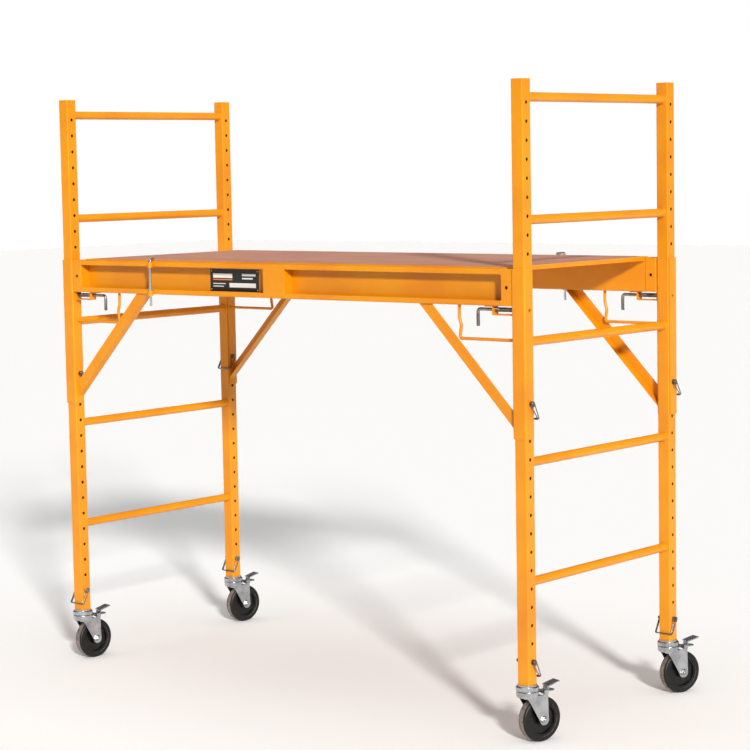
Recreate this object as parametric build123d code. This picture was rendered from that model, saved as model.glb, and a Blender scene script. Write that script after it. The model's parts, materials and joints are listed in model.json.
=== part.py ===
from build123d import *
import math
import os

# Baker scaffold: a steel platform hung between two ladder frames on casters.
# Millimetres, +Z up, X along the platform, floor at Z = 0 while modelling.

os.makedirs("parts", exist_ok=True)

# ---- ladder frames
POST = 38.1
POST_WALL = 2.0
POST_CORNER = 3.0
POST_X = 900.2
POST_Y = 354.4
POST_FOOT = 165.1
POST_LENGTH = 1651.0
POST_TOP = POST_FOOT + POST_LENGTH
HALF_POST = POST / 2
HOLE_PITCH = 50.8
HOLE_COUNT = 31
HOLE_END = 63.5
HOLE_R = 5.2
HOLE_TOP_Z = POST_TOP - HOLE_END
SPRING_PIN_HOLE = 11
SLEEVE_PIN_HOLE = 16
CASTER_PIN_HOLE = 30
RUNG_R = 12.7
RUNG_WALL = 1.6
RUNG_TOP_Z = 1767.6
RUNG_PITCH = 330.2
RUNG_COUNT = 5

# ---- sleeves that ride on the posts
SLEEVE_GAP = 0.6
SLEEVE_SHEET = 3.0
SLEEVE_BEND = 5.5
SLEEVE_BOTTOM = 843.6
SLEEVE_TOP = 1306.1
SLEEVE_LIP_Y = 340.5
SLEEVE_HALF = HALF_POST + SLEEVE_GAP + SLEEVE_SHEET
SLEEVE_FACE_X = POST_X - SLEEVE_HALF

# ---- side rails
RAIL_BOTTOM = 1204.5
RAIL_TOP = 1306.1
RAIL_WEB_Y = 335.3
RAIL_FRONT_Y = 373.4
RAIL_SHEET = 2.5
RAIL_LIP = 15.0
RAIL_CORNER = 3.5
BRACKET_HOLE_R = 5.0
BRACKET_HOLE_Z = 1255.0
RAIL_END_X = SLEEVE_FACE_X - POST
STIFFENER_FROM = -42.0
STIFFENER_TO = 42.0
LABEL_LEFT = -294.0
LABEL_RIGHT = -92.0
LABEL_LOW = 1219.0
LABEL_HIGH = 1286.0

# ---- corner braces
BRACE_LEG = 31.75
BRACE_THICK = 3.0
BRACE_TOP_X = 570.0
BRACE_FOOT_Z = 889.5
BRACE_WEB_Y = 365.4
BRACE_FLANGE_Y = 340.0

# ---- spring pins and their brackets
PIN_R = 4.75
TAB_X = 806.0
STRAP = 3.0
STRAP_HALF_WIDTH = 12.5
STRAP_BOTTOM = 1178.5
STRAP_FOOT = 25.0
SPRING_PIN_TIP_X = 890.0
SPRING_PIN_BEND_X = 747.0
SPRING_PIN_DROP = 47.0
COLLAR_X = 866.0
COLLAR_LONG = 3.0
COLLAR_R = 6.4
SPRING_R = 6.5
SPRING_BORE = 5.0

# ---- lift rods
LIFT_R = 4.5
LIFT_X = 682.5
LIFT_Z = 1110.6
LIFT_Y = 355.0

# ---- deck
DECK_TOP = 1309.1
PANEL_THICK = 9.5
PANEL_X = 835.9
PANEL_Y = 331.0
BAR = 3.0
BAR_WEB_Y = 331.3
BAR_LAP_Y = 351.0
BAR_SHELF_Y = 306.0
DECK_END_X = 839.2
SCREW_Y = 318.0
SCREW_PITCH = 152.4
SCREWS_A_SIDE = 11
SCREW_HEAD_R = 4.2
SCREW_R = 2.2

# ---- deck hooks
HOOK_R = 4.0
BOSS_R = 8.5
BOSS_LONG = 15.0
HOOK_Y = RAIL_FRONT_Y + BOSS_R
HOOK_BOTTOM = 1169.0
HOOK_REACH = 40.0
HOOK_STOP_Z = 1222.0
FRONT_HOOK_X = -512.0
BACK_HOOK_X = 517.0
FRONT_HOOK_TURN = 30.0

# ---- wire lock pins
LOCK_PIN_LONG = 53.0
LOCK_HEAD_R = 8.0
LOCK_HEAD_LONG = 11.0
LOCK_TONGUE = 9.6
LOCK_EYE = 6.7
WIRE_R = 1.5
WIRE_REACH = 48.0
WIRE_BACK = 48.0
WIRE_GAP = 2.2
LOCK_SLACK = 0.25

# ---- casters
WHEEL_R = 63.5
WHEEL_WIDTH = 31.0
TYRE_DEPTH = 14.0
TRAIL = 40.0
AXLE_R = 6.0
KINGPIN_R = 6.0
RACE_R = 31.0
FORK_IN = 20.5
FORK_SHEET = 3.0
FORK_TOP = 133.0
CHEEK_FRONT = -17.0
CHEEK_BACK = 53.0
CHEEK_TIP_R = 15.0
PEDAL_T = 46.0
PEDAL_Z = 139.5
PEDAL_RIVET_R = 3.0
RUN = 0.05

SIDES = {"left": -1, "right": 1}
ENDS = {"front": -1, "back": 1}
CASTER_TURN = {"left_front": 84.0, "left_back": 80.0, "right_front": 73.0, "right_back": 67.0}
# Angle of each lock-pin wire from straight down; negative hangs to the front of its post.
CASTER_WIRE = {"left_front": -28.8, "left_back": -28.8, "right_front": 28.8, "right_back": -28.8}
SLEEVE_WIRE = {"left_front": 28.8, "left_back": -28.8, "right_front": 28.8, "right_back": 33.8}


def block(x0, x1, y0, y1, z0, z1):
    """A box between opposite corners, given in any order."""
    size = (abs(x1 - x0), abs(y1 - y0), abs(z1 - z0))
    return Pos((x0 + x1) / 2, (y0 + y1) / 2, (z0 + z1) / 2) * Box(*size)


def rod_x(r, x0, x1, y, z):
    return Pos((x0 + x1) / 2, y, z) * Rot(0, 90, 0) * Cylinder(r, abs(x1 - x0))


def rod_y(r, x, y0, y1, z):
    return Pos(x, (y0 + y1) / 2, z) * Rot(90, 0, 0) * Cylinder(r, abs(y1 - y0))


def rod_z(r, x, y, z0, z1):
    return Pos(x, y, (z0 + z1) / 2) * Cylinder(r, abs(z1 - z0))


def bent_rod(points, r, bend):
    """Round bar swept along a path with filleted corners."""
    path = FilletPolyline(*points, radius=bend)
    return sweep(Plane(origin=path @ 0, z_dir=path % 0) * Circle(r), path=path)


def corners():
    for side, sx in SIDES.items():
        for end, sy in ENDS.items():
            yield f"{side}_{end}", sx, sy


def hole_z(index):
    return HOLE_TOP_Z - HOLE_PITCH * index


# ---------------------------------------------------------------- ladder frames
def make_post(sx, sy):
    outer = RectangleRounded(POST, POST, POST_CORNER)
    inner = RectangleRounded(POST - 2 * POST_WALL, POST - 2 * POST_WALL, POST_CORNER - POST_WALL)
    tube = Pos(sx * POST_X, sy * POST_Y, POST_FOOT) * extrude(outer - inner, POST_LENGTH)
    holes = [
        rod_x(HOLE_R, sx * POST_X - POST, sx * POST_X + POST, sy * POST_Y, hole_z(i))
        for i in range(HOLE_COUNT)
    ]
    return tube - holes


def make_rungs(sx):
    half = POST_Y - HALF_POST
    rungs = []
    for k in range(RUNG_COUNT):
        z = RUNG_TOP_Z - RUNG_PITCH * k
        tube = rod_y(RUNG_R, sx * POST_X, -half, half, z)
        rungs.append(tube - rod_y(RUNG_R - RUNG_WALL, sx * POST_X, -half, half, z))
    return rungs


def make_caster_stem(sx, sy):
    """Square plug inside the post, flange, upper race and kingpin."""
    x, y = sx * POST_X, sy * POST_Y
    plug_side = POST - 2 * POST_WALL - 0.3
    plug = Pos(x, y, POST_FOOT - 1) * extrude(RectangleRounded(plug_side, plug_side, 2), 95)
    plug -= rod_x(HOLE_R, x - POST, x + POST, y, hole_z(CASTER_PIN_HOLE))
    flange = rod_z(27, x, y, 160, POST_FOOT)
    race = chamfer(rod_z(RACE_R + 1, x, y, 148.5, 160.5).edges().group_by(Axis.Z)[-1], 2)
    stem = rod_z(KINGPIN_R, x, y, 126, 150)
    head = rod_z(10, x, y, 123, FORK_TOP - 3 - 0.4)
    return plug + flange + race + stem + head


# ---------------------------------------------------------------- casters
def placed(shape, sx, sy, turn):
    return Pos(sx * POST_X, sy * POST_Y, 0) * Rot(0, 0, turn) * shape


def make_fork():
    """Swivel fork, trailing along +X, with the pedal rivet."""
    out = FORK_IN + FORK_SHEET
    crown = rod_z(RACE_R - 2, 0, 0, FORK_TOP - 3, FORK_TOP)
    crown += block(0, 34, -out, out, FORK_TOP - 3, FORK_TOP)
    race = fillet(rod_z(RACE_R, 0, 0, FORK_TOP, 148).edges().group_by(Axis.Z)[-1], 3)
    cheek = Polyline(
        (CHEEK_FRONT, FORK_TOP),
        (CHEEK_BACK, FORK_TOP),
        (CHEEK_BACK + 2, WHEEL_R),
        (TRAIL - 13.2, WHEEL_R - 5),
        close=True,
    )
    cheek = make_face(cheek) + Pos(TRAIL, WHEEL_R) * Circle(CHEEK_TIP_R)
    ear = Polyline(
        (PEDAL_T - 8, FORK_TOP - 4),
        (PEDAL_T + 7, FORK_TOP - 4),
        (PEDAL_T + 7, 146),
        (PEDAL_T - 5, 146),
        close=True,
    )
    ear = make_face(ear)
    plate = cheek + ear
    fork = crown + race
    for low in (-out, FORK_IN):
        face = Plane(origin=(0, low + FORK_SHEET, 0), x_dir=(1, 0, 0), z_dir=(0, -1, 0))
        fork += face * extrude(plate, FORK_SHEET)
    fork -= rod_z(KINGPIN_R + RUN, 0, 0, 100, 160)
    fork -= rod_y(AXLE_R + RUN, TRAIL, -out - 1, out + 1, WHEEL_R)
    fork -= rod_y(PEDAL_RIVET_R + RUN, PEDAL_T, -out - 1, out + 1, PEDAL_Z)
    rivet = rod_y(PEDAL_RIVET_R, PEDAL_T, -out - 2, out + 2, PEDAL_Z)
    for face in (-out - 2, out):
        rivet += rod_y(5, PEDAL_T, face, face + 2, PEDAL_Z)
    return [fork, rivet]


def make_wheel():
    """Moulded wheel centre with a raised hub and a recessed disc."""
    core_r = WHEEL_R - TYRE_DEPTH
    rim = rod_y(core_r, TRAIL, -13, 13, WHEEL_R)
    for low, high in ((-14, -7), (7, 14)):
        rim -= rod_y(core_r - 7, TRAIL, low, high, WHEEL_R)
    hub = rod_y(17, TRAIL, -FORK_IN + 1, FORK_IN - 1, WHEEL_R)
    return rim + hub - rod_y(AXLE_R + RUN, TRAIL, -30, 30, WHEEL_R)


def make_tyre():
    half = WHEEL_WIDTH / 2
    tyre = fillet(rod_y(WHEEL_R, TRAIL, -half, half, WHEEL_R).edges().filter_by(GeomType.CIRCLE), 7)
    return tyre - rod_y(WHEEL_R - TYRE_DEPTH, TRAIL, -half - 1, half + 1, WHEEL_R)


def make_axle():
    out = FORK_IN + FORK_SHEET
    bolt = rod_y(AXLE_R, TRAIL, -out - 10, out + 1, WHEEL_R)
    hexagon = extrude(RegularPolygon(10.5, 6), 7)
    nut = Pos(TRAIL, -out, WHEEL_R) * Rot(90, 0, 0) * hexagon
    head = Pos(TRAIL, out + 6, WHEEL_R) * Rot(90, 0, 0) * extrude(RegularPolygon(10.5, 6), 6)
    return bolt + nut + head


def make_pedal():
    """Stamped brake lever: step-on tab behind, release tab raised above it."""
    half = 15.0
    hub = rod_y(5, PEDAL_T, -FORK_IN + 0.5, FORK_IN - 0.5, PEDAL_Z)
    tread = block(PEDAL_T, 76, -half, half, 138, 141) + Pos(0, 0, 138) * rod_z(half, 74, 0, 0, 3)
    shoe = block(55, 64, -11, 11, 130, 138.5)
    riser = block(62, 65, -12, 12, 140, 153)
    tab = Pos(62, 0, 152) * Rot(0, -14, 0) * block(0, 40, -half, half, 0, 3)
    pedal = hub + tread + shoe + riser + tab
    return pedal - rod_y(PEDAL_RIVET_R + RUN, PEDAL_T, -30, 30, PEDAL_Z)


# ---------------------------------------------------------------- wire lock pins
def make_lock_pin(x, y, z, reach, swing):
    """Straight pin along X with its head on +X, and a sprung wire over its point."""
    base = reach + LOCK_SLACK
    shank = rod_x(PIN_R, base - LOCK_PIN_LONG, base + 1, 0, 0)
    shank = chamfer(shank.edges().group_by(Axis.X)[0], 1.2)
    head = fillet(rod_x(LOCK_HEAD_R, base, base + LOCK_HEAD_LONG, 0, 0).edges().group_by(Axis.X)[-1], 2.5)
    eye = base + LOCK_EYE
    for low, high in ((-9, -LOCK_TONGUE / 2), (LOCK_TONGUE / 2, 9)):
        head -= block(base + 3, base + 20, low, high, -9, 9)
    head -= rod_y(WIRE_R + RUN, eye, -9, 9, 0)
    far = base - WIRE_BACK
    half_wire = [
        (eye, WIRE_GAP, 0),
        (eye, LOCK_TONGUE / 2 + 1.7, 0),
        (eye, LOCK_TONGUE / 2 + 1.7, -14),
        (eye + 2, WIRE_GAP, -WIRE_REACH),
        (far, WIRE_GAP, -WIRE_REACH),
        (far, WIRE_GAP, -PIN_R - WIRE_R - 0.4),
    ]
    mirrored = [(px, -py, pz) for px, py, pz in reversed(half_wire)]
    wire = bent_rod(half_wire + mirrored, WIRE_R, 1.9)
    place = Pos(x, y, z) * Rot(swing, 0, 0)
    return [place * (shank + head), place * wire]


# ---------------------------------------------------------------- platform
def make_sleeve(sx, sy):
    half_y = SLEEVE_HALF
    height = SLEEVE_TOP - SLEEVE_BOTTOM
    side = 2 * SLEEVE_HALF
    bore = side - 2 * SLEEVE_SHEET
    ring = RectangleRounded(side, side, SLEEVE_BEND)
    ring -= RectangleRounded(bore, bore, SLEEVE_BEND - SLEEVE_SHEET)
    ring = Pos(sx * POST_X, sy * POST_Y, SLEEVE_BOTTOM) * extrude(ring, height)
    open_side = block(
        sx * (POST_X - 30), sx * (POST_X + 30), sy * (POST_Y - half_y - 5), sy * SLEEVE_LIP_Y, 800, 1400
    )
    sleeve = ring - open_side
    for index in (SPRING_PIN_HOLE, SLEEVE_PIN_HOLE):
        sleeve -= rod_x(HOLE_R, sx * (POST_X - 30), sx * (POST_X + 30), sy * POST_Y, hole_z(index))
    return sleeve


def make_rail(sy):
    """Lipped channel standing on edge, open to the outside."""
    depth = RAIL_FRONT_Y - RAIL_WEB_Y
    tall = RAIL_TOP - RAIL_BOTTOM
    section = RectangleRounded(depth, tall, RAIL_CORNER)
    section -= RectangleRounded(depth - 2 * RAIL_SHEET, tall - 2 * RAIL_SHEET, RAIL_CORNER - RAIL_SHEET)
    section -= Pos(depth / 2, 0) * Rectangle(4 * RAIL_SHEET, tall - 2 * RAIL_LIP)
    plane = Plane(origin=(-RAIL_END_X, 0, 0), x_dir=(0, 1, 0), z_dir=(1, 0, 0))
    middle = Pos((RAIL_WEB_Y + RAIL_FRONT_Y) / 2, (RAIL_BOTTOM + RAIL_TOP) / 2)
    bar = plane * middle * extrude(section, 2 * RAIL_END_X)
    return bar if sy > 0 else mirror(bar, Plane.XZ)


def make_end_bracket(sx, sy):
    outer = RectangleRounded(POST, POST, POST_CORNER)
    inner = RectangleRounded(POST - 2 * POST_WALL, POST - 2 * POST_WALL, POST_CORNER - POST_WALL)
    x = sx * (RAIL_END_X + HALF_POST)
    y = sy * (RAIL_WEB_Y + RAIL_FRONT_Y) / 2
    tube = Pos(x, y, RAIL_BOTTOM) * extrude(outer - inner, RAIL_TOP - RAIL_BOTTOM)
    return tube - rod_y(BRACKET_HOLE_R, x, y - POST, y + POST, BRACKET_HOLE_Z)


def make_stiffener(sy):
    """Box that closes the middle of a rail; the two rails carry it turned about."""
    web = RAIL_WEB_Y + RAIL_SHEET
    lip_back = RAIL_FRONT_Y - RAIL_SHEET
    low, high = RAIL_BOTTOM + 1.5 * RAIL_SHEET, RAIL_TOP - 1.5 * RAIL_SHEET
    a, b = STIFFENER_FROM, STIFFENER_TO
    box = block(a, b, web, lip_back, low, high)
    box -= block(a + RAIL_SHEET, b - RAIL_SHEET, web - 1, lip_back - RAIL_SHEET, low - 1, high + 1)
    box += block(a, b, lip_back - 1, RAIL_FRONT_Y, RAIL_BOTTOM + RAIL_LIP, RAIL_TOP - RAIL_LIP)
    return mirror(box, Plane.XZ) if sy < 0 else mirror(box, Plane.YZ)


def make_brace(sx, sy):
    run = SLEEVE_FACE_X - BRACE_TOP_X
    fall = RAIL_BOTTOM - BRACE_FOOT_Z
    length = math.hypot(run, fall)
    ux, uz = run / length, -fall / length

    def corner_points(offset):
        px, pz = BRACE_TOP_X - uz * offset, RAIL_BOTTOM + ux * offset
        to_top = (RAIL_BOTTOM - pz) / uz
        to_face = (SLEEVE_FACE_X - px) / ux
        return (px + ux * to_top, RAIL_BOTTOM), (SLEEVE_FACE_X, pz + uz * to_face)

    def band(low, high, y0, y1):
        top_a, foot_a = corner_points(low)
        top_b, foot_b = corner_points(high)
        face = make_face(Polyline(top_a, foot_a, foot_b, top_b, close=True))
        plane = Plane(origin=(0, y1, 0), x_dir=(1, 0, 0), z_dir=(0, -1, 0))
        return plane * extrude(face, y1 - y0)

    half = BRACE_LEG / 2
    brace = band(-half, half, BRACE_WEB_Y - BRACE_THICK, BRACE_WEB_Y)
    brace += band(-half, -half + BRACE_THICK, BRACE_FLANGE_Y, BRACE_WEB_Y)
    if sx < 0:
        brace = mirror(brace, Plane.YZ)
    return mirror(brace, Plane.XZ) if sy < 0 else brace


def make_pin_bracket(sx, sy):
    """Strap folded into two tabs that guide a spring pin under the rail."""
    y0, y1 = POST_Y - STRAP_HALF_WIDTH, POST_Y + STRAP_HALF_WIDTH
    tab = TAB_X - STRAP / 2
    strap = block(tab, tab + STRAP, y0, y1, STRAP_BOTTOM, RAIL_BOTTOM)
    strap += block(tab, SLEEVE_FACE_X, y0, y1, STRAP_BOTTOM, STRAP_BOTTOM + STRAP)
    strap += block(SLEEVE_FACE_X - STRAP, SLEEVE_FACE_X, y0, y1, STRAP_BOTTOM, RAIL_BOTTOM)
    strap += block(tab - STRAP_FOOT, tab + STRAP, y0, y1, RAIL_BOTTOM - STRAP, RAIL_BOTTOM)
    strap -= rod_x(PIN_R + RUN, tab - 5, SLEEVE_FACE_X + 5, POST_Y, hole_z(SPRING_PIN_HOLE))
    if sx < 0:
        strap = mirror(strap, Plane.YZ)
    return mirror(strap, Plane.XZ) if sy < 0 else strap


def make_spring_pin(sx, sy):
    z = hole_z(SPRING_PIN_HOLE)
    y = sy * POST_Y
    points = [
        (sx * SPRING_PIN_TIP_X, y, z),
        (sx * SPRING_PIN_BEND_X, y, z),
        (sx * SPRING_PIN_BEND_X, y, z - SPRING_PIN_DROP),
    ]
    pin = bent_rod(points, PIN_R, 9)
    return pin + rod_x(COLLAR_R, sx * COLLAR_X, sx * (COLLAR_X + COLLAR_LONG), y, z)


def make_spring(sx, sy):
    z = hole_z(SPRING_PIN_HOLE)
    x0, x1 = sx * (TAB_X + STRAP / 2 + 0.1), sx * (COLLAR_X - 0.1)
    y = sy * POST_Y
    return rod_x(SPRING_R, x0, x1, y, z) - rod_x(SPRING_BORE, x0 - sx, x1 + sx, y, z)


def make_lift_rod(sx, sy):
    y = sy * LIFT_Y
    points = [
        (sx * LIFT_X, y, RAIL_BOTTOM),
        (sx * LIFT_X, y, 1168),
        (sx * (LIFT_X + 6.5), y, 1146),
        (sx * (LIFT_X + 1), y, LIFT_Z),
        (sx * SLEEVE_FACE_X, y, LIFT_Z),
    ]
    return bent_rod(points, LIFT_R, 7)


def make_deck_frame():
    shelf_top = DECK_TOP - PANEL_THICK
    low = shelf_top - BAR
    bars = []
    for sy in ENDS.values():
        x = DECK_END_X
        side = block(-x, x, sy * BAR_WEB_Y, sy * (BAR_WEB_Y + BAR), low, DECK_TOP)
        side += block(-x, x, sy * BAR_WEB_Y, sy * BAR_LAP_Y, RAIL_TOP, DECK_TOP)
        side += block(-x, x, sy * BAR_SHELF_Y, sy * (BAR_WEB_Y + BAR), low, shelf_top)
        for k in range(SCREWS_A_SIDE):
            at = (k - (SCREWS_A_SIDE - 1) / 2) * SCREW_PITCH
            side -= rod_z(SCREW_R + RUN, at, sy * SCREW_Y, low - 1, shelf_top + 1)
        bars.append(side)
    for sx in SIDES.values():
        x = sx * DECK_END_X
        inner = sx * (DECK_END_X - BAR)
        end = block(inner, x, -BAR_WEB_Y, BAR_WEB_Y, shelf_top, DECK_TOP)
        end += block(inner, x, -BAR_SHELF_Y, BAR_SHELF_Y, low, DECK_TOP)
        end += block(sx * (DECK_END_X - 25), x, -BAR_SHELF_Y, BAR_SHELF_Y, low, shelf_top)
        bars.append(end)
    return bars


def screw_places():
    for sy in ENDS.values():
        for k in range(SCREWS_A_SIDE):
            yield (k - (SCREWS_A_SIDE - 1) / 2) * SCREW_PITCH, sy * SCREW_Y


def make_deck_panel():
    panel = block(-PANEL_X, PANEL_X, -PANEL_Y, PANEL_Y, DECK_TOP - PANEL_THICK, DECK_TOP)
    cuts = []
    for x, y in screw_places():
        cuts.append(rod_z(SCREW_R + RUN, x, y, DECK_TOP - 20, DECK_TOP + 1))
        cuts.append(rod_z(SCREW_HEAD_R + RUN, x, y, DECK_TOP - 2, DECK_TOP + 1))
    return panel - cuts


def make_deck_screws():
    screws = []
    for x, y in screw_places():
        shank = rod_z(SCREW_R, x, y, DECK_TOP - 18, DECK_TOP - 1)
        screws.append(shank + rod_z(SCREW_HEAD_R, x, y, DECK_TOP - 2, DECK_TOP))
    return screws


def make_hook_bosses(x, sy):
    bosses = []
    for low in (RAIL_TOP - RAIL_LIP - 2.4, RAIL_BOTTOM - 4.0):
        boss = rod_z(BOSS_R, x, sy * HOOK_Y, low, low + BOSS_LONG)
        bosses.append(boss - rod_z(HOOK_R + RUN, x, sy * HOOK_Y, low - 1, low + BOSS_LONG + 1))
    return bosses


def make_deck_hook(x, sy, turn):
    """Chrome rod with a bent arm over the deck edge and a roll pin as its stop."""
    arm_z = DECK_TOP + HOOK_R + 0.1
    rod = bent_rod([(0, 0, HOOK_BOTTOM), (0, 0, arm_z), (0, -sy * HOOK_REACH, arm_z)], HOOK_R, 7)
    stop = rod_x(1.5, -8, 8, 0, HOOK_STOP_Z)
    return Pos(x, sy * HOOK_Y, 0) * Rot(0, 0, turn) * (rod + stop)


def make_label_plate():
    y = RAIL_WEB_Y + RAIL_SHEET
    return block(LABEL_LEFT, LABEL_RIGHT, -y, -y - 1.0, LABEL_LOW, LABEL_HIGH)


# ---------------------------------------------------------------- assembly
nodes = {}
for name, sx, sy in corners():
    side, end = name.split("_")
    nodes[f"{side}_frame_{end}_post"] = [make_post(sx, sy)]
for side, sx in SIDES.items():
    nodes[f"{side}_frame_rungs"] = make_rungs(sx)
    nodes[f"{side}_frame_caster_stems"] = [make_caster_stem(sx, sy) for sy in ENDS.values()]

fork, wheel, tyre, axle, pedal = make_fork(), make_wheel(), make_tyre(), make_axle(), make_pedal()
for name, sx, sy in corners():
    turn = CASTER_TURN[name]
    nodes[f"{name}_caster_fork"] = [placed(s, sx, sy, turn) for s in fork]
    nodes[f"{name}_caster_wheel"] = [placed(wheel, sx, sy, turn)]
    nodes[f"{name}_caster_tyre"] = [placed(tyre, sx, sy, turn)]
    nodes[f"{name}_caster_axle"] = [placed(axle, sx, sy, turn)]
    nodes[f"{name}_caster_brake_pedal"] = [placed(pedal, sx, sy, turn)]
    nodes[f"{name}_caster_lock_pin"] = make_lock_pin(
        sx * POST_X, sy * POST_Y, hole_z(CASTER_PIN_HOLE), HALF_POST, CASTER_WIRE[name]
    )
    nodes[f"{name}_sleeve_lock_pin"] = make_lock_pin(
        sx * POST_X, sy * POST_Y, hole_z(SLEEVE_PIN_HOLE), SLEEVE_HALF, SLEEVE_WIRE[name]
    )
    nodes[f"{name}_spring_pin"] = [make_spring_pin(sx, sy)]
    nodes[f"{name}_pin_spring"] = [make_spring(sx, sy)]

nodes["front_rail"] = [make_rail(-1)]
nodes["back_rail"] = [make_rail(1)]
nodes["end_brackets"] = [make_end_bracket(sx, sy) for _, sx, sy in corners()]
nodes["rail_stiffeners"] = [make_stiffener(sy) for sy in ENDS.values()]
nodes["leg_sleeves"] = [make_sleeve(sx, sy) for _, sx, sy in corners()]
nodes["corner_braces"] = [make_brace(sx, sy) for _, sx, sy in corners()]
nodes["pin_brackets"] = [make_pin_bracket(sx, sy) for _, sx, sy in corners()]
nodes["lift_rods"] = [make_lift_rod(sx, sy) for _, sx, sy in corners()]
nodes["deck_frame"] = make_deck_frame()
nodes["deck_panel"] = [make_deck_panel()]
nodes["deck_screws"] = make_deck_screws()
nodes["hook_bosses"] = make_hook_bosses(FRONT_HOOK_X, -1) + make_hook_bosses(BACK_HOOK_X, 1)
nodes["front_deck_hook"] = [make_deck_hook(FRONT_HOOK_X, -1, FRONT_HOOK_TURN)]
nodes["back_deck_hook"] = [make_deck_hook(BACK_HOOK_X, 1, 0)]
nodes["label_plate"] = [make_label_plate()]

# The origin is the middle of the underside of the box round the whole scaffold.
shapes = {}
for name, solids in nodes.items():
    flat = [piece for solid in solids for piece in solid.solids()]
    shapes[name] = Compound(children=flat) if len(flat) > 1 else flat[0]
boxes = [shape.bounding_box() for shape in shapes.values()]
BOX_MIN = [min(getattr(b.min, axis) for b in boxes) for axis in "XYZ"]
BOX_MAX = [max(getattr(b.max, axis) for b in boxes) for axis in "XYZ"]
ORIGIN = ((BOX_MIN[0] + BOX_MAX[0]) / 2, (BOX_MIN[1] + BOX_MAX[1]) / 2, BOX_MIN[2])
for name, shape in shapes.items():
    export_step(Pos(-ORIGIN[0], -ORIGIN[1], -ORIGIN[2]) * shape, f"parts/{name}.step")
print("origin", ORIGIN, "box", BOX_MIN, BOX_MAX)
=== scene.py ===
"""Baker scaffold: finishes, welds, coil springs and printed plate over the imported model."""
import json
import math

import bpy
from mathutils import Matrix, Vector


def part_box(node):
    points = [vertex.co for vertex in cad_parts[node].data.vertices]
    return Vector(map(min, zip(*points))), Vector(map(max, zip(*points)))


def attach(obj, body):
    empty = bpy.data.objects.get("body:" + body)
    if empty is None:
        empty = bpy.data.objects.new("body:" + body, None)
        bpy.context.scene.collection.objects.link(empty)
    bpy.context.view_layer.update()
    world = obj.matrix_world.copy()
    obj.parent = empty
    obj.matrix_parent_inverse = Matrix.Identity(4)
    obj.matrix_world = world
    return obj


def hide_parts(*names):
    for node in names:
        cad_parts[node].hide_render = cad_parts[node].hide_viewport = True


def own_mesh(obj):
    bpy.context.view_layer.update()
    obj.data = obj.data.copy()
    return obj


bl_info = {
    "name": "Baker scaffold",
    "version": (1, 0, 0),
    "blender": (4, 5, 0),
    "location": "View3D > Sidebar > Scaffold",
    "description": "Finishes and small fittings of a rolling baker scaffold",
    "category": "Object",
}

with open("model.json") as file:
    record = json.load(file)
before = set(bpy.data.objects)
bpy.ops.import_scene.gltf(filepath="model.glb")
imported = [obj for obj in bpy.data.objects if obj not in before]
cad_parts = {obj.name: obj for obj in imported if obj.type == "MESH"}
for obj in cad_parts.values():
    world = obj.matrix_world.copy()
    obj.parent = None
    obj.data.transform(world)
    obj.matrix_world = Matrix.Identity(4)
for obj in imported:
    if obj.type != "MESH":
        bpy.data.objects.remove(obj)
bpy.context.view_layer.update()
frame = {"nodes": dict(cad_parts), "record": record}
NODES = frame["nodes"]
MM = 0.001
CORNERS = [(f"{side}_{end}", side, end) for side in ("left", "right") for end in ("front", "back")]
SIDES = ("left", "right")
RUNG_COUNT = 5
RING_POINTS = 32
WELD_STAND = 0.4 * MM
WELD_SET_IN = 0.6 * MM
CORNER_SET_IN = 0.2 * MM
WELD_END_IN = 1 * MM
PLATFORM_BEAD = 0.8
RAIL_LIP = 15 * MM
BRACKET_CORNER = 3 * MM
# Length of the pin point painted black as shade on the far side of the post.
SHADED_POINT = 9 * MM
INK_STAND = 0.12 * MM
INK_DEPTH = 0.3 * MM
RIVET_INSET = 5 * MM
RIVET_RADIUS = 2.6 * MM
RIVET_RISE = 1.0 * MM
FLOOR_HALF = 30
LIGHT_DISTANCE = 9.0
LIGHT_AIM = 0.9


def middle(node):
    low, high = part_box(node)
    return (low + high) / 2


def post_centre():
    """Point on the floor midway between the four posts."""
    spots = [middle(f"{s}_frame_{e}_post") for _, s, e in CORNERS]
    total = sum(spots, Vector())
    return Vector((total.x / 4, total.y / 4, 0))


CENTRE = post_centre()


# ---------------------------------------------------------------- small helpers
def linear(hex_colour):
    """sRGB hex to a linear colour."""
    out = []
    for i in (0, 2, 4):
        c = int(hex_colour[i:i + 2], 16) / 255
        out.append(c / 12.92 if c <= 0.04045 else ((c + 0.055) / 1.055) ** 2.4)
    return (*out, 1.0)


def add(tree, kind, settings=None, **inputs):
    """Adds a node. Inputs are values or sockets, named with _ for spaces, or iN for input number N."""
    made = tree.nodes.new(kind)
    for key, value in (settings or {}).items():
        setattr(made, key, value)
    for key, value in inputs.items():
        if key[0] == "i" and key[1:].isdigit():
            socket = made.inputs[int(key[1:])]
        else:
            socket = made.inputs[key.replace("_", " ")]
        if isinstance(value, bpy.types.NodeSocket):
            tree.links.new(value, socket)
        else:
            socket.default_value = value
    return made


def material(name, base, roughness, metallic=0.0, **sockets):
    """A Principled material and its tree; constants go straight on the shader."""
    mat = bpy.data.materials.new(name)
    mat.use_nodes = True
    tree = mat.node_tree
    shader = tree.nodes["Principled BSDF"]
    shader.inputs["Base Color"].default_value = linear(base)
    shader.inputs["Roughness"].default_value = roughness
    shader.inputs["Metallic"].default_value = metallic
    for key, value in sockets.items():
        shader.inputs[key.replace("_", " ")].default_value = value
    return mat, tree, shader


def maths(tree, operation, *values):
    """One maths node; values are numbers or sockets."""
    given = {f"i{k}": value for k, value in enumerate(values)}
    return add(tree, "ShaderNodeMath", {"operation": operation}, **given).outputs[0]


def mix(tree, factor, first, second):
    """The first colour where factor is nought, the second where it is one."""
    return add(tree, "ShaderNodeMix", {"data_type": "RGBA"}, i0=factor, i6=first, i7=second).outputs[2]


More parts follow.
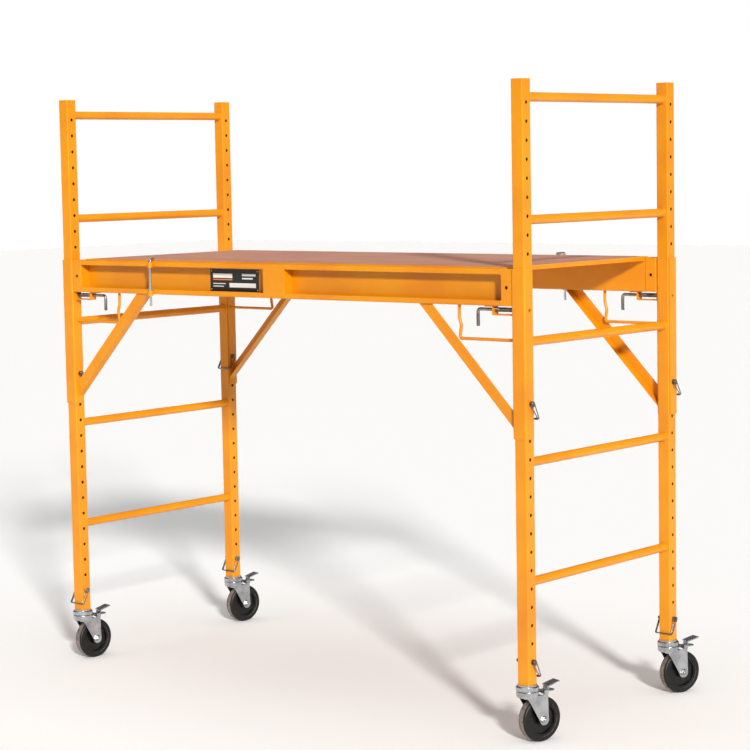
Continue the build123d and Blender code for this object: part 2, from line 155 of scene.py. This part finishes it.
def noise(tree, size_mm, detail=3.0, rough=0.5, stretch=(1, 1, 1)):
    """Noise on Object coordinates whose features are about size_mm across."""
    where = add(tree, "ShaderNodeTexCoord").outputs["Object"]
    where = add(tree, "ShaderNodeMapping", Vector=where, Scale=stretch).outputs["Vector"]
    return add(
        tree, "ShaderNodeTexNoise", Vector=where, Scale=1 / (size_mm * MM), Detail=detail, Roughness=rough
    ).outputs["Fac"]


def blend(tree, factor, low_hex, high_hex, start=0.3, stop=0.7):
    """Ramp from one colour to another as factor goes from start to stop."""
    ramp = add(tree, "ShaderNodeValToRGB", Fac=factor)
    ramp.color_ramp.elements[0].position = start
    ramp.color_ramp.elements[0].color = linear(low_hex)
    ramp.color_ramp.elements[1].position = stop
    ramp.color_ramp.elements[1].color = linear(high_hex)
    return ramp.outputs["Color"]


def spread(tree, factor, low, high):
    """Stretches the middle half of a noise to the range low to high."""
    return add(
        tree, "ShaderNodeMapRange", Value=factor, From_Min=0.25, From_Max=0.75, To_Min=low, To_Max=high
    ).outputs["Result"]


def bump(tree, shader, height, distance_mm, strength=1.0, under=None):
    """Relief of distance_mm on a shader, laid over another relief where one is given."""
    made = add(tree, "ShaderNodeBump", Height=height, Strength=strength, Distance=distance_mm * MM)
    if under is not None:
        tree.links.new(under, made.inputs["Normal"])
    tree.links.new(made.outputs["Normal"], shader.inputs["Normal"])
    return made.outputs["Normal"]


def edge_highlight_mask(tree):
    """Painted highlight mask: one on a convex edge, nought on flats: how far a rounded normal leans from the
    true one.
    """
    round_normal = add(tree, "ShaderNodeBevel", {"samples": 4}, Radius=1.2 * MM).outputs["Normal"]
    true_normal = add(tree, "ShaderNodeNewGeometry").outputs["Normal"]
    dot = add(tree, "ShaderNodeVectorMath", {"operation": "DOT_PRODUCT"}, i0=round_normal, i1=true_normal)
    return add(
        tree, "ShaderNodeMapRange", Value=dot.outputs["Value"], From_Min=0.99, From_Max=0.80,
        To_Min=0.0, To_Max=1.0
    ).outputs["Result"]


def painted_shade_mask(tree, reach_mm):
    """Painted shade mask: one where nearly every way out is closed within reach_mm, as inside a tube or in a
    deep crevice; nought on open faces.
    """
    open_share = add(
        tree, "ShaderNodeAmbientOcclusion", {"samples": 8, "only_local": True}, Distance=reach_mm * MM
    ).outputs["AO"]
    return add(
        tree, "ShaderNodeMapRange", Value=open_share, From_Min=0.30, From_Max=0.18, To_Min=0.0, To_Max=1.0
    ).outputs["Result"]


# ---------------------------------------------------------------- finishes
def powder_coat(colour):
    """Baked polyester powder on steel: satin gloss over a fine orange peel, a little dusty tone in the
    colour, painted highlight on convex edges and painted shade in hollows.
    """
    mat, tree, shader = material(
        "yellow_powder_coat", colour, 0.36, IOR=1.45, Coat_Weight=0.06, Coat_Roughness=0.2
    )
    cloud = noise(tree, 160, 4)
    tone = blend(tree, cloud, "D87F06", colour, 0.25, 0.6)
    # Painted highlight: convex edges are lightened towards pale yellow F5B84A.
    edge = maths(tree, "MULTIPLY", edge_highlight_mask(tree), 0.4)
    edge_highlighted = mix(tree, edge, tone, linear("F5B84A"))
    # Painted shade, with some bare steel: inside the tubes and in deep crevices the colour turns near black,
    # so that the pin holes look dark.
    after_painted_shade = mix(tree, painted_shade_mask(tree, 60), edge_highlighted, linear("1E150E"))
    tree.links.new(after_painted_shade, shader.inputs["Base Color"])
    # Real orange peel is 1 to 2 mm across; it is drawn 2.5 mm so that it shows.
    peel = noise(tree, 2.5, 2)
    tree.links.new(spread(tree, noise(tree, 40, 3), 0.31, 0.43), shader.inputs["Roughness"])
    bump(tree, shader, peel, 0.05, 0.35)
    return mat


def zinc_plate(name, colour, dull, roughness):
    """Bright zinc on pressed steel: a cool mirror with cloudy patches and fine drawing lines."""
    mat, tree, shader = material(name, colour, roughness, 1.0)
    cloud = noise(tree, 30, 4)
    tree.links.new(blend(tree, cloud, dull, colour, 0.3, 0.65), shader.inputs["Base Color"])
    gloss = spread(tree, noise(tree, 5, 3), roughness - 0.07, roughness + 0.12)
    tree.links.new(gloss, shader.inputs["Roughness"])
    bump(tree, shader, noise(tree, 1.2, 2, stretch=(1, 1, 6)), 0.03, 0.3)
    return mat


def film_faced_plywood():
    """Phenolic film pressed on plywood: red-brown and satin, a fine mesh print over faint grain."""
    mat, tree, shader = material("film_faced_plywood", "B27A66", 0.6, IOR=1.5, Specular_IOR_Level=0.22)
    grain = noise(tree, 30, 5, 0.6, (0.12, 1, 1))
    tone = blend(tree, grain, "B57D69", "D09C88", 0.25, 0.75)
    where = add(tree, "ShaderNodeTexCoord").outputs["Object"]
    # The pressed mesh is about 1.5 mm; it is drawn 4 mm so that it shows.
    turned = add(tree, "ShaderNodeMapping", Vector=where, Rotation=(0, 0, math.radians(45))).outputs["Vector"]
    step = 2 * math.pi / (20 * 4 * MM)
    across, along = [
        add(tree, "ShaderNodeTexWave", {"bands_direction": way}, Vector=turned, Scale=step).outputs["Fac"]
        for way in ("X", "Y")
    ]
    mesh = maths(tree, "MINIMUM", across, along)
    tree.links.new(tone, shader.inputs["Base Color"])
    tree.links.new(spread(tree, noise(tree, 90, 5), 0.56, 0.72), shader.inputs["Roughness"])
    under = bump(tree, shader, mesh, 0.12, 0.25)
    bump(tree, shader, noise(tree, 60, 3, 0.5, (0.3, 1, 1)), 0.3, 0.2, under)
    return mat


def moulded_black(name, colour, roughness, grain_mm):
    """Hard moulded black: semi-gloss with fine flow marks and a paler scuff here and there."""
    mat, tree, shader = material(name, colour, roughness, IOR=1.42)
    tree.links.new(blend(tree, noise(tree, 25, 5), colour, "131311", 0.45, 0.85), shader.inputs["Base Color"])
    gloss = spread(tree, noise(tree, 9, 4), roughness - 0.08, roughness + 0.15)
    tree.links.new(gloss, shader.inputs["Roughness"])
    bump(tree, shader, noise(tree, grain_mm, 3), 0.06, 0.35)
    return mat


def tread_dust_and_highlight(name, axle):
    """Hard tread: black on its sides; on the face that rolls on the floor a patchy tan that is partly dusty
    scuffing and partly a painted highlight.
    """
    mat = moulded_black(name, "0D0D0C", 0.4, 2.0)
    tree = mat.node_tree
    shader = tree.nodes["Principled BSDF"]
    facing = add(tree, "ShaderNodeTexCoord").outputs["Normal"]
    along = add(tree, "ShaderNodeVectorMath", {"operation": "DOT_PRODUCT"}, i0=facing, i1=tuple(axle))
    away = maths(tree, "ABSOLUTE", along.outputs["Value"])
    rolled = add(
        tree, "ShaderNodeMapRange", Value=away, From_Min=0.25, From_Max=0.05, To_Min=0.0, To_Max=1.0
    ).outputs["Result"]
    patchy = spread(tree, noise(tree, 8, 4), 0.15, 0.75)
    # Painted highlight, partly dusty scuffing: the face that rolls on the floor turns patchy tan A8988A.
    dust_and_highlight = maths(tree, "MULTIPLY", rolled, patchy)
    tree.links.new(blend(tree, dust_and_highlight, "0D0D0C", "A8988A", 0.0, 0.9), shader.inputs["Base Color"])
    return mat


def chrome_rod():
    """Bright plated round bar: near mirror, faint polishing marks round it."""
    mat, tree, shader = material("chrome_rod", "D4D6DA", 0.12, 1.0)
    tree.links.new(spread(tree, noise(tree, 6, 3), 0.08, 0.22), shader.inputs["Roughness"])
    bump(tree, shader, noise(tree, 0.8, 2, stretch=(1, 1, 8)), 0.01, 0.3)
    return mat


def lock_pin_steel(node):
    """Zinc pin and sprung wire, with painted shade: the point on the far side of the post, where the post
    shades it, is black and not metallic.
    """
    mat = zinc_plate(f"{node}_steel", "9C948C", "6A625C", 0.34)
    tree = mat.node_tree
    shader = tree.nodes["Principled BSDF"]
    steel = shader.inputs["Base Color"].links[0].from_socket
    where = add(tree, "ShaderNodeTexCoord").outputs["Object"]
    x = add(tree, "ShaderNodeSeparateXYZ", Vector=where).outputs["X"]
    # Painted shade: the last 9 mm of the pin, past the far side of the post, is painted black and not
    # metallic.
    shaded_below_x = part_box(node)[0].x + SHADED_POINT
    painted_shade_tip = maths(tree, "LESS_THAN", x, shaded_below_x)
    colour = mix(tree, painted_shade_tip, steel, linear("0C0C0C"))
    after_painted_shade = maths(tree, "SUBTRACT", 1.0, painted_shade_tip)
    tree.links.new(colour, shader.inputs["Base Color"])
    tree.links.new(after_painted_shade, shader.inputs["Metallic"])
    return mat


def label_ink(name, colour):
    """Screen-printed vinyl: flat colour, slight gloss, tiny ink mottle."""
    mat, tree, shader = material(name, colour, 0.42, IOR=1.46, Coat_Weight=0.3, Coat_Roughness=0.2)
    bump(tree, shader, noise(tree, 3, 2), 0.02, 0.3)
    tree.links.new(spread(tree, noise(tree, 12, 3), 0.36, 0.5), shader.inputs["Roughness"])
    return mat


def weld_metal(colour):
    """Painted weld: the same powder coat over rippled metal, a touch darker in the troughs."""
    mat, tree, shader = material("painted_weld", colour, 0.4, IOR=1.5, Coat_Weight=0.2, Coat_Roughness=0.2)
    tree.links.new(blend(tree, noise(tree, 4, 3), "C87608", colour, 0.35, 0.6), shader.inputs["Base Color"])
    bump(tree, shader, noise(tree, 2, 3), 0.2, 0.5)
    return mat


def paint(node, mat):
    """Puts a finish on every material slot of a CAD node."""
    slots = NODES[node].material_slots
    for s in slots:
        s.material = mat
    if not slots:
        NODES[node].data.materials.append(mat)


# ---------------------------------------------------------------- making pieces
def keep_mesh(name, made, mat, body, swaps=()):
    """Turns an object into a plain mesh piece that rides on a body."""
    bpy.context.view_layer.update()
    depsgraph = bpy.context.evaluated_depsgraph_get()
    mesh = bpy.data.meshes.new_from_object(made.evaluated_get(depsgraph))
    bpy.data.objects.remove(made)
    piece = bpy.data.objects.new(name, mesh)
    bpy.context.scene.collection.objects.link(piece)
    if not mesh.materials:
        mesh.materials.append(mat)
    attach(piece, body)
    if swaps:
        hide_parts(*swaps)
    return piece


def new_tree(name, sizes):
    """A geometry tree with one input for each size; returns it with its inputs and its outlet."""
    tree = bpy.data.node_groups.new(name, "GeometryNodeTree")
    tree.interface.new_socket("Geometry", in_out="INPUT", socket_type="NodeSocketGeometry")
    for label, kind, value in sizes:
        socket = tree.interface.new_socket(label, in_out="INPUT", socket_type=kind)
        if value is not None:
            socket.default_value = value
    tree.interface.new_socket("Geometry", in_out="OUTPUT", socket_type="NodeSocketGeometry")
    return tree, tree.nodes.new("NodeGroupInput").outputs, tree.nodes.new("NodeGroupOutput").inputs[0]


def set_input(modifier, label, value):
    """Sets one size of a geometry tree by the name it shows."""
    for item in modifier.node_group.interface.items_tree:
        if item.item_type == "SOCKET" and item.in_out == "INPUT" and item.name == label:
            modifier[item.identifier] = value
            return
    raise RuntimeError(f"no input named {label}")


def round_bar(tree, line, radius):
    """Sweeps a circle of a radius along a line and closes its ends."""
    profile = add(tree, "GeometryNodeCurvePrimitiveCircle", Resolution=8, Radius=radius).outputs[0]
    return add(tree, "GeometryNodeCurveToMesh", Curve=line, Profile_Curve=profile, Fill_Caps=True)


def send_out(tree, shape, mat, out):
    """Shades a shape smooth, makes it real, gives it its finish and sends it out of the tree."""
    smooth = add(tree, "GeometryNodeSetShadeSmooth", i0=shape).outputs[0]
    real = add(tree, "GeometryNodeRealizeInstances", i0=smooth).outputs[0]
    done = add(tree, "GeometryNodeSetMaterial", Geometry=real, Material=mat).outputs[0]
    tree.links.new(done, out)


def bead_tree(mat):
    """Sweeps a rippled bead along each spline of a curve."""
    tree, given, out = new_tree(
        "weld_bead",
        [
            ("Bead radius", "NodeSocketFloat", 2.0 * MM),
            ("Ripple pitch", "NodeSocketFloat", 3.0 * MM),
            ("Ripple height", "NodeSocketFloat", 0.16),
            ("Seed", "NodeSocketInt", 7),
        ],
    )
    pitch = maths(tree, "DIVIDE", given["Ripple pitch"], 4.0)
    line = add(tree, "GeometryNodeResampleCurve", {"mode": "LENGTH"}, Curve=given["Geometry"], Length=pitch)
    index = add(tree, "GeometryNodeInputIndex").outputs[0]
    turn = maths(tree, "MULTIPLY", index, math.pi / 2)
    wave = maths(tree, "SINE", turn)
    wave = maths(tree, "MULTIPLY", wave, given["Ripple height"])
    wander = add(tree, "FunctionNodeRandomValue", Min=-0.06, Max=0.06, Seed=given["Seed"])
    scale = maths(tree, "ADD", wave, wander.outputs["Value"])
    scale = maths(tree, "ADD", scale, 1.0)
    swept = round_bar(tree, line.outputs[0], given["Bead radius"])
    tree.links.new(scale, swept.inputs["Scale"])
    send_out(tree, swept.outputs[0], mat, out)
    return tree


def coil_tree(mat):
    """A compression spring along X: closed ends and open turns between."""
    tree, given, out = new_tree(
        "coil_spring",
        [
            ("Coil radius", "NodeSocketFloat", 5.6 * MM),
            ("Wire radius", "NodeSocketFloat", 0.8 * MM),
            ("Length", "NodeSocketFloat", 56.0 * MM),
            ("Turns", "NodeSocketFloat", 14.0),
            ("Start", "NodeSocketVector", (0, 0, 0)),
        ],
    )
    spiral = add(
        tree, "GeometryNodeCurveSpiral", Resolution=20, Rotations=given["Turns"],
        Start_Radius=given["Coil radius"], End_Radius=given["Coil radius"], Height=given["Length"],
    )
    laid = add(tree, "GeometryNodeTransform", Geometry=spiral.outputs[0], Rotation=(0, math.pi / 2, 0))
    laid = add(tree, "GeometryNodeTransform", Geometry=laid.outputs[0], Translation=given["Start"])
    wire = round_bar(tree, laid.outputs[0], given["Wire radius"])
    send_out(tree, wire.outputs[0], mat, out)
    return tree


def stud_tree(mat):
    """A low domed head on every point, facing the front."""
    tree, given, out = new_tree(
        "rivet_heads",
        [("Head radius", "NodeSocketFloat", 3.0 * MM), ("Head height", "NodeSocketFloat", 1.2 * MM)],
    )
    dome = add(tree, "GeometryNodeMeshUVSphere", Segments=16, Rings=8, Radius=1.0).outputs[0]
    radius = given["Head radius"]
    size = add(tree, "ShaderNodeCombineXYZ", X=radius, Y=given["Head height"], Z=radius)
    placed = add(
        tree, "GeometryNodeInstanceOnPoints", Points=given["Geometry"], Instance=dome, Scale=size.outputs[0]
    ).outputs[0]
    real = add(tree, "GeometryNodeRealizeInstances", i0=placed).outputs[0]
    smooth = add(tree, "GeometryNodeSetShadeSmooth", i0=real).outputs[0]
    done = add(tree, "GeometryNodeSetMaterial", Geometry=smooth, Material=mat).outputs[0]
    tree.links.new(done, out)
    return tree


def with_nodes(obj, tree, **values):
    """Puts a geometry tree on an object, with its sizes."""
    modifier = obj.modifiers.new("build", "NODES")
    modifier.node_group = tree
    for label, value in values.items():
        set_input(modifier, label.replace("_", " "), value)
    return obj


def curve_of(name, paths):
    """A curve object of poly splines; each path is (points, closed)."""
    data = bpy.data.curves.new(name, "CURVE")
    data.dimensions = "3D"
    for points, closed in paths:
        spline = data.splines.new("POLY")
        spline.points.add(len(points) - 1)
        for slot, p in zip(spline.points, points):
            slot.co = (*p, 1)
        spline.use_cyclic_u = closed
    obj = bpy.data.objects.new(name, data)
    bpy.context.scene.collection.objects.link(obj)
    return obj


def mesh_of(name, verts, faces=()):
    """A mesh object of points and faces."""
    data = bpy.data.meshes.new(name)
    data.from_pydata([tuple(v) for v in verts], [], [tuple(f) for f in faces])
    obj = bpy.data.objects.new(name, data)
    bpy.context.scene.collection.objects.link(obj)
    return obj


# ---------------------------------------------------------------- sizes a user may change
class ScaffoldFinish(bpy.types.PropertyGroup):
    paint: bpy.props.StringProperty(
        name="Paint", description="sRGB hex of the powder coat", default="E08F03"
    )
    weld_radius: bpy.props.FloatProperty(
        name="Weld radius", description="Radius of a weld bead", default=1.8 * MM, unit="LENGTH"
    )
    ripple: bpy.props.FloatProperty(
        name="Weld ripple", description="Length of one ripple of a weld", default=3.0 * MM, unit="LENGTH"
    )


class ScaffoldSprings(bpy.types.PropertyGroup):
    wire: bpy.props.FloatProperty(
        name="Wire radius", description="Radius of the spring wire", default=0.8 * MM, unit="LENGTH"
    )
    turns: bpy.props.FloatProperty(name="Turns", description="Turns in each pin spring", default=14.0)


class ScaffoldStage(bpy.types.PropertyGroup):
    lens: bpy.props.FloatProperty(
        name="Lens", description="Focal length on a 36 mm sensor", default=106.52, unit="CAMERA"
    )
    azimuth: bpy.props.FloatProperty(
        name="Azimuth", description="Turn of the view round the scaffold", default=math.radians(40.321),
        subtype="ANGLE"
    )
    elevation: bpy.props.FloatProperty(
        name="Elevation", description="Downward tilt of the view", default=math.radians(5.414),
        subtype="ANGLE"
    )
    roll: bpy.props.FloatProperty(
        name="Roll", description="Tilt of the horizon", default=math.radians(-1.038), subtype="ANGLE"
    )
    eye: bpy.props.FloatVectorProperty(
        name="Eye", description="Camera place from the floor midway between the posts",
        default=(4.46827, -5.18172, 1.59319), subtype="TRANSLATION"
    )
    ambient: bpy.props.FloatProperty(
        name="Ambient", description="Strength of the light all round", default=0.17
    )
    sun: bpy.props.FloatProperty(name="Key", description="Strength of the key light", default=4.0)
    floor: bpy.props.StringProperty(name="Floor", description="sRGB hex of the floor", default="FBFBFA")


# ---------------------------------------------------------------- operators
class OBJECT_OT_scaffold_frames(bpy.types.Operator):
    """Powder coat on the ladder frames, platform steel and sleeves"""

    bl_idname = "object.scaffold_frames"
    bl_label = "Coat the steelwork"

    def execute(self, context):
        coat = powder_coat(context.scene.scaffold_finish.paint)
        parts = [
            "front_rail", "back_rail", "end_brackets", "rail_stiffeners", "leg_sleeves", "corner_braces",
            "pin_brackets", "lift_rods", "deck_frame", "hook_bosses",
        ]
        parts += [f"{s}_frame_{e}_post" for _, s, e in CORNERS]
        parts += [f"{s}_frame_rungs" for s in SIDES]
        for part in parts:
            paint(part, coat)
        return {"FINISHED"}


class OBJECT_OT_scaffold_deck(bpy.types.Operator):
    """Film-faced plywood and its screws"""

    bl_idname = "object.scaffold_deck"
    bl_label = "Lay the deck"

    def execute(self, context):
        paint("deck_panel", film_faced_plywood())
        paint("deck_screws", zinc_plate("screw_zinc", "C9C7C2", "9A9893", 0.3))
        return {"FINISHED"}


class OBJECT_OT_scaffold_casters(bpy.types.Operator):
    """Zinc forks and pedals, black wheels"""

    bl_idname = "object.scaffold_casters"
    bl_label = "Finish the casters"

    def execute(self, context):
        plate = zinc_plate("pressed_zinc", "C2C4C7", "A0A3A7", 0.22)
        wheel = moulded_black("moulded_wheel", "070706", 0.3, 1.0)
        spins = {joint["name"]: joint["axis"] for joint in frame["record"]["behaviour"]["joints"]}
        for name, _, _ in CORNERS:
            for part in ("fork", "axle", "brake_pedal"):
                paint(f"{name}_caster_{part}", plate)
            paint(f"{name}_caster_wheel", wheel)
            paint(f"{name}_caster_tyre", tread_dust_and_highlight(f"{name}_tread", spins[f"{name}_wheel_spin"]))
        for side in SIDES:
            paint(f"{side}_frame_caster_stems", plate)
        return {"FINISHED"}


class OBJECT_OT_scaffold_pins(bpy.types.Operator):
    """Lock pins, spring pins and deck hooks"""

    bl_idname = "object.scaffold_pins"
    bl_label = "Finish the pins"

    def execute(self, context):
        pull = zinc_plate("spring_pin_zinc", "A8A39C", "6F6862", 0.3)
        rod = chrome_rod()
        for name, _, _ in CORNERS:
            for pin in (f"{name}_caster_lock_pin", f"{name}_sleeve_lock_pin"):
                paint(pin, lock_pin_steel(pin))
            paint(f"{name}_spring_pin", pull)
        paint("front_deck_hook", rod)
        paint("back_deck_hook", rod)
        return {"FINISHED"}


class OBJECT_OT_scaffold_springs(bpy.types.Operator):
    """Coil spring on each spring pin, between its outer tab and collar"""

    bl_idname = "object.scaffold_springs"
    bl_label = "Wind the springs"

    def execute(self, context):
        sizes = context.scene.scaffold_springs
        mat = zinc_plate("spring_wire", "B4B2AE", "7C7A76", 0.28)
        tree = coil_tree(mat)
        for name, side, _ in CORNERS:
            node = f"{name}_pin_spring"
            low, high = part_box(node)
            radius = (high.z - low.z) / 2 - sizes.wire
            length = high.x - low.x - 2 * sizes.wire
            start = Vector((low.x + sizes.wire, (low.y + high.y) / 2, (low.z + high.z) / 2))
            seed = mesh_of(node + "_seed", [(0, 0, 0)])
            with_nodes(
                seed, tree, Coil_radius=radius, Wire_radius=sizes.wire, Length=length,
                Turns=sizes.turns, Start=tuple(start),
            )
            piece = keep_mesh(f"{name}_coil", seed, mat, "platform", (node,))
            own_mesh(piece)
        return {"FINISHED"}


class OBJECT_OT_scaffold_welds(bpy.types.Operator):
    """Weld beads where rungs meet posts and where rails meet brackets and sleeves"""

    bl_idname = "object.scaffold_welds"
    bl_label = "Lay the welds"

    def execute(self, context):
        sizes = context.scene.scaffold_finish
        mat = weld_metal(sizes.paint)
        tree = bead_tree(mat)
        for side in SIDES:
            rungs = middle(f"{side}_frame_rungs")
            low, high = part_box(f"{side}_frame_rungs")
            radius = (high.x - low.x) / 2
            pitch = (high.z - low.z - 2 * radius) / (RUNG_COUNT - 1)
            paths = []
            for k in range(RUNG_COUNT):
                z = high.z - radius - pitch * k
                for y, inward in ((low.y, 1), (high.y, -1)):
                    ring = [
                        (
                            rungs.x + (radius + WELD_STAND) * math.cos(t * 2 * math.pi / RING_POINTS),
                            y + inward * WELD_SET_IN,
                            z + (radius + WELD_STAND) * math.sin(t * 2 * math.pi / RING_POINTS),
                        )
                        for t in range(RING_POINTS)
                    ]
                    paths.append((ring, True))
            line = with_nodes(
                curve_of(f"{side}_rung_paths", paths), tree, Bead_radius=sizes.weld_radius,
                Ripple_pitch=sizes.ripple,
            )
            keep_mesh(f"{side}_rung_welds", line, mat, f"{side}_frame")
        paths = []
        bracket_low, bracket_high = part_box("end_brackets")
        rail_low, rail_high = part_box("front_rail")
        top, bottom = bracket_high.z - WELD_END_IN, bracket_low.z + WELD_END_IN
        for rail_x in (rail_low.x, rail_high.x):
            for y in (bracket_low.y + CORNER_SET_IN, bracket_high.y - CORNER_SET_IN):
                paths.append(([(rail_x, y, top), (rail_x, y, top - RAIL_LIP)], False))
                paths.append(([(rail_x, y, bottom + RAIL_LIP), (rail_x, y, bottom)], False))
        for x in (bracket_low.x, bracket_high.x):
            for y in (bracket_low.y + BRACKET_CORNER, bracket_high.y - BRACKET_CORNER):
                paths.append(([(x, y, top), (x, y, bottom)], False))
        line = with_nodes(
            curve_of("platform_paths", paths), tree, Bead_radius=sizes.weld_radius * PLATFORM_BEAD,
            Ripple_pitch=sizes.ripple,
        )
        keep_mesh("platform_welds", line, mat, "platform")
        return {"FINISHED"}


class OBJECT_OT_scaffold_label(bpy.types.Operator):
    """Black plate on the front rail with plain bars and four rivets"""

    bl_idname = "object.scaffold_label"
    bl_label = "Fix the label plate"

    def execute(self, context):
        paint("label_plate", label_ink("label_black", "141414"))
        low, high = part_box("label_plate")
        width, height = high.x - low.x, high.z - low.z
        inks = {
            "orange": label_ink("label_orange", "F08A1E"),
            "white": label_ink("label_white", "E8E8E4"),
        }
        # Each bar is (ink, left, right, bottom, top) as shares of the plate.
        bars = [
            ("white", 0.06, 0.46, 0.60, 0.80),
            ("orange", 0.06, 0.46, 0.50, 0.55),
            ("white", 0.66, 0.94, 0.70, 0.80),
            ("white", 0.66, 0.88, 0.56, 0.62),
            ("white", 0.06, 0.32, 0.32, 0.36),
            ("white", 0.06, 0.28, 0.20, 0.24),
            ("white", 0.40, 0.94, 0.18, 0.38),
        ]
        for ink in inks:
            verts, faces = [], []
            for kind, left, right, bottom, top in bars:
                if kind != ink:
                    continue
                base = len(verts)
                for y in (low.y - INK_STAND, low.y + INK_DEPTH):
                    for sx, sz in ((left, bottom), (right, bottom), (right, top), (left, top)):
                        verts.append((low.x + width * sx, y, low.z + height * sz))
                quads = [(0, 1, 2, 3), (7, 6, 5, 4)]
                quads += [(k, k + 4, (k + 1) % 4 + 4, (k + 1) % 4) for k in range(4)]
                faces += [[base + i for i in quad] for quad in quads]
            bar = mesh_of(f"label_{ink}_seed", verts, faces)
            keep_mesh(f"label_{ink}_bars", bar, inks[ink], "platform")
        across = (low.x + RIVET_INSET, high.x - RIVET_INSET)
        upward = (low.z + RIVET_INSET, high.z - RIVET_INSET)
        spots = [(x, low.y, z) for x in across for z in upward]
        rivet = zinc_plate("rivet_alloy", "C8C8C6", "9E9E9C", 0.32)
        seed = mesh_of("rivet_seed", spots)
        with_nodes(seed, stud_tree(rivet), Head_radius=RIVET_RADIUS, Head_height=RIVET_RISE)
        keep_mesh("label_rivets", seed, rivet, "platform")
        return {"FINISHED"}


class OBJECT_OT_scaffold_stage(bpy.types.Operator):
    """Pale floor, soft light and camera"""

    bl_idname = "object.scaffold_stage"
    bl_label = "Set the stage"

    def execute(self, context):
        view = context.scene.scaffold_stage
        corners = [(x * FLOOR_HALF, y * FLOOR_HALF, 0) for x, y in ((-1, -1), (1, -1), (1, 1), (-1, 1))]
        floor = mesh_of("floor", corners, [(0, 1, 2, 3)])
        mat, _, _ = material("pale_floor", view.floor, 0.95, Specular_IOR_Level=0.0)
        floor.data.materials.append(mat)

        cam_data = bpy.data.cameras.new("camera")
        cam_data.lens = view.lens
        cam_data.sensor_width = 36
        cam_data.clip_end = 200
        camera = bpy.data.objects.new("camera", cam_data)
        context.scene.collection.objects.link(camera)
        az, el, roll = view.azimuth, view.elevation, view.roll
        forward = Vector((-math.sin(az) * math.cos(el), math.cos(az) * math.cos(el), -math.sin(el)))
        right = Vector((math.cos(az), math.sin(az), 0))
        up = right.cross(forward)
        side = right * math.cos(roll) + up * math.sin(roll)
        top = up * math.cos(roll) - right * math.sin(roll)
        turn = Matrix((side, top, -forward)).transposed().to_4x4()
        camera.matrix_world = Matrix.Translation(CENTRE + Vector(view.eye)) @ turn
        context.scene.camera = camera

        world = bpy.data.worlds.new("studio")
        context.scene.world = world
        world.use_nodes = True
        back = world.node_tree.nodes["Background"]
        back.inputs["Color"].default_value = (1, 1, 1, 1)
        seen = add(world.node_tree, "ShaderNodeLightPath").outputs["Is Camera Ray"]
        power = add(world.node_tree, "ShaderNodeMapRange", Value=seen, To_Min=view.ambient, To_Max=1.0)
        world.node_tree.links.new(power.outputs["Result"], back.inputs["Strength"])
        context.scene.view_settings.view_transform = "Standard"

        def lamp(name, kind, energy, towards, size, colour=(1, 1, 1)):
            data = bpy.data.lights.new(name, kind)
            data.energy = energy
            data.color = colour
            if kind == "SUN":
                data.angle = size
            else:
                data.shape = "DISK"
                data.size = size
            obj = bpy.data.objects.new(name, data)
            spot = Vector(towards).normalized()
            obj.location = CENTRE + Vector((0, 0, LIGHT_AIM)) + spot * LIGHT_DISTANCE
            obj.rotation_euler = spot.to_track_quat("Z", "Y").to_euler()
            context.scene.collection.objects.link(obj)

        lamp("key", "SUN", view.sun, (1.35, -1.0, 0.66), math.radians(6), colour=(1, 0.985, 0.96))
        lamp("soft_top", "SUN", 1.15, (0.1, -0.1, 1.0), math.radians(70))
        lamp("soft_front", "AREA", 8, (-0.4, -1.0, 0.5), 5.0)
        return {"FINISHED"}


class VIEW3D_PT_scaffold(bpy.types.Panel):
    """Lists the scaffold's steps and sizes"""

    bl_idname = "VIEW3D_PT_scaffold"
    bl_label = "Baker scaffold"
    bl_space_type = "VIEW_3D"
    bl_region_type = "UI"
    bl_category = "Scaffold"

    def draw(self, context):
        scene = context.scene
        for group in (scene.scaffold_finish, scene.scaffold_springs, scene.scaffold_stage):
            for key in group.__annotations__:
                self.layout.prop(group, key)
        for step in STEPS:
            self.layout.operator(step.bl_idname)


GROUPS = {
    "scaffold_finish": ScaffoldFinish,
    "scaffold_springs": ScaffoldSprings,
    "scaffold_stage": ScaffoldStage,
}
STEPS = (
    OBJECT_OT_scaffold_frames,
    OBJECT_OT_scaffold_deck,
    OBJECT_OT_scaffold_casters,
    OBJECT_OT_scaffold_pins,
    OBJECT_OT_scaffold_springs,
    OBJECT_OT_scaffold_welds,
    OBJECT_OT_scaffold_label,
    OBJECT_OT_scaffold_stage,
)


def register():
    for cls in (*GROUPS.values(), *STEPS, VIEW3D_PT_scaffold):
        bpy.utils.register_class(cls)
    for key, cls in GROUPS.items():
        setattr(bpy.types.Scene, key, bpy.props.PointerProperty(type=cls))


def unregister():
    for key in GROUPS:
        delattr(bpy.types.Scene, key)
    for cls in (VIEW3D_PT_scaffold, *reversed(STEPS), *GROUPS.values()):
        bpy.utils.unregister_class(cls)


def main():
    register()
    for step in STEPS:
        area, action = step.bl_idname.split(".")
        getattr(getattr(bpy.ops, area), action)()


if __name__ == "__main__":
    main()
